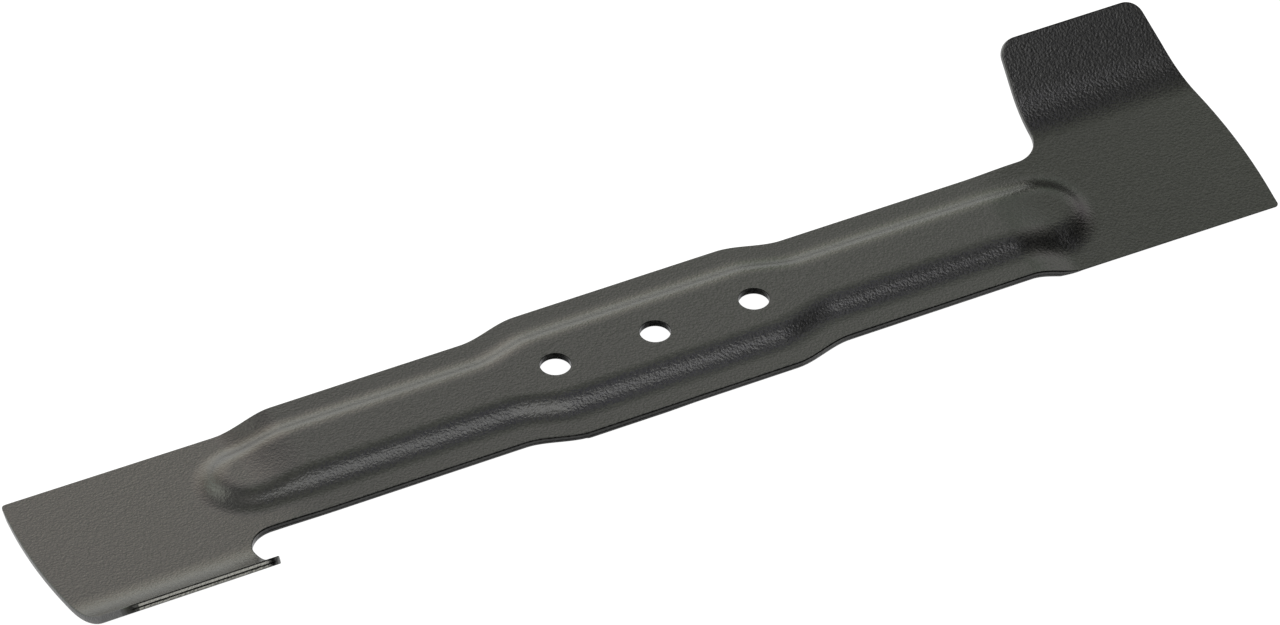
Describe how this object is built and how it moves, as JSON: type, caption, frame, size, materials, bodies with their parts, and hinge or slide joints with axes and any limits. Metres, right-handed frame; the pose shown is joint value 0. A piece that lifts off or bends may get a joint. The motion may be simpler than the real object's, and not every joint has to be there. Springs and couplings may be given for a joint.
{
  "type": "lawn mower blade",
  "caption": "Pressed steel rotary mower blade with a raised central rib, twisted ends, underside cutting bevels, bent-up trailing wings and a row of mounting holes.",
  "frame": {"origin": "under the centre hole, at the level on which the blade lies", "axes": "+X along the blade, +Z along the centre hole's axis towards the motor side, the side the wings bend to; the cutting edges are at +X -Y and -X +Y"},
  "size_m": [0.43, 0.12, 0.0295],
  "materials": {
    "coated_steel": "dark olive-grey powder coat, satin, fine orange-peel texture"
  },
  "bodies": {
    "root": {"blade": "coated_steel"}
  },
  "joints": []
}
